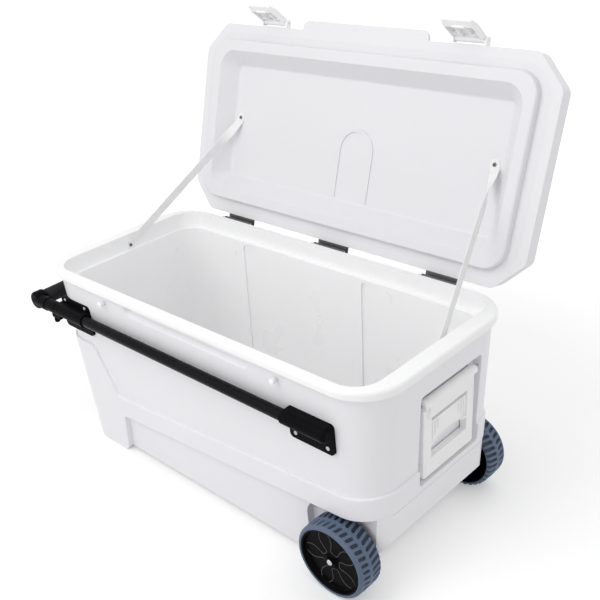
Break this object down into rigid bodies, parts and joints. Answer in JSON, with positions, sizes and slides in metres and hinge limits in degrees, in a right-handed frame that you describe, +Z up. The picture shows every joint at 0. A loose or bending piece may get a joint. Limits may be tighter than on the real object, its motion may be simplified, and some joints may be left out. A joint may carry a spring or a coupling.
{
  "type": "wheeled cooler",
  "caption": "Long insulated ice chest on wheels with a hinged lid on stays, hook latches, a pull-out tow handle, a swinging carrying handle and a drain.",
  "frame": {"origin": "centre of the bounding box's bottom face, on the ground", "axes": "+X along the length towards the wheels, -Y towards the front with the latches, +Z up"},
  "size_m": [0.973, 0.6306, 0.8921],
  "materials": {
    "white_shell": "fine satin grain, moulded",
    "white_liner": "smooth, moulded",
    "foam": "closed-cell foam, hidden",
    "black_plastic": "fine grain",
    "black_tube": "satin black coat",
    "black_sleeve": "soft foam rubber",
    "hinge_metal": "dull zinc",
    "steel": "plain zinc",
    "strap": "woven tape",
    "tyre": "soft blue-grey tread",
    "hub": "fine grain",
    "black_screw": "black oxide",
    "drain_white": "smooth",
    "seal": "smooth"
  },
  "bodies": {
    "tub": {"tub_shell": "white_shell", "tub_liner": "white_liner", "tub_foam": "foam", "latch_keepers": "white_shell", "hinge_leaves_tub": "hinge_metal", "hinge_pins": "steel", "hinge_screws_tub": "steel", "tow_guide_front": "black_plastic", "tow_guide_rear": "black_plastic", "tow_anchor_front": "black_plastic", "tow_anchor_rear": "black_plastic", "tow_tube_front": "black_tube", "tow_tube_rear": "black_tube", "tow_collars": "black_plastic", "bracket_screws": "black_screw", "axle": "steel", "axle_spacers": "black_plastic", "axle_caps": "steel", "side_handle_rod": "steel", "drain_body": "drain_white", "drain_washer": "seal", "drain_nut": "drain_white", "stay_screws_tub": "black_screw"},
    "lid": {"lid_shell": "white_shell", "lid_liner": "white_liner", "lid_foam": "foam", "hinge_leaves_lid": "hinge_metal", "hinge_screws_lid": "steel", "latch_mounts": "white_shell", "latch_pins": "steel", "stay_screws_lid": "black_screw", "lid_stay_left": "strap", "lid_stay_right": "strap"},
    "latch_left": {"latch_left": "white_shell"},
    "latch_right": {"latch_right": "white_shell"},
    "tow_handle": {"slide_tube_front": "black_tube", "slide_tube_rear": "black_tube", "slide_rings": "black_plastic", "tow_corner_front": "black_plastic", "tow_corner_rear": "black_plastic", "crossbar_tube": "black_tube", "tow_grip": "black_sleeve"},
    "release_knob": {"release_knob": "black_plastic"},
    "side_handle": {"side_handle": "white_shell"},
    "wheel_front": {"tyre_front": "tyre", "hub_front": "hub"},
    "wheel_rear": {"tyre_rear": "tyre", "hub_rear": "hub"},
    "drain_cap": {"drain_cap": "drain_white"}
  },
  "joints": [
    {"name": "lid_hinge", "type": "hinge", "parent": "tub", "child": "lid", "pos_m": [0.0265, 0.1377, 0.43], "axis": [1, 0, 0], "range_deg": [0, 106.4], "deforming": ["lid_stay_left", "lid_stay_right"]},
    {"name": "latch_left_pivot", "type": "hinge", "parent": "lid", "child": "latch_left", "pos_m": [-0.22, 0.27948, 0.84798], "axis": [-1, 0, 0], "range_deg": [-22, 80]},
    {"name": "latch_right_pivot", "type": "hinge", "parent": "lid", "child": "latch_right", "pos_m": [0.273, 0.27948, 0.84798], "axis": [-1, 0, 0], "range_deg": [-22, 80]},
    {"name": "tow_handle_slide", "type": "slide", "parent": "tub", "child": "tow_handle", "axis": [-1, 0, 0], "range_m": [0, 0.42]},
    {"name": "release_knob_travel", "type": "slide", "parent": "tub", "child": "release_knob", "axis": [0, 0, 1], "range_m": [0, 0.005]},
    {"name": "side_handle_swing", "type": "hinge", "parent": "tub", "child": "side_handle", "pos_m": [0.46754, -0.0573, 0.345], "axis": [0, -1, 0], "range_deg": [0, 100]},
    {"name": "wheel_front_spin", "type": "hinge", "parent": "tub", "child": "wheel_front", "pos_m": [0.396, -0.2863, 0.077], "axis": [0, 1, 0], "continuous": true},
    {"name": "wheel_rear_spin", "type": "hinge", "parent": "tub", "child": "wheel_rear", "pos_m": [0.396, 0.1197, 0.077], "axis": [0, 1, 0], "continuous": true},
    {"name": "drain_cap_turn", "type": "hinge", "parent": "tub", "child": "drain_cap", "pos_m": [-0.4215, -0.0833, 0.076], "axis": [-1, 0, 0], "range_deg": [0, 90]}
  ]
}
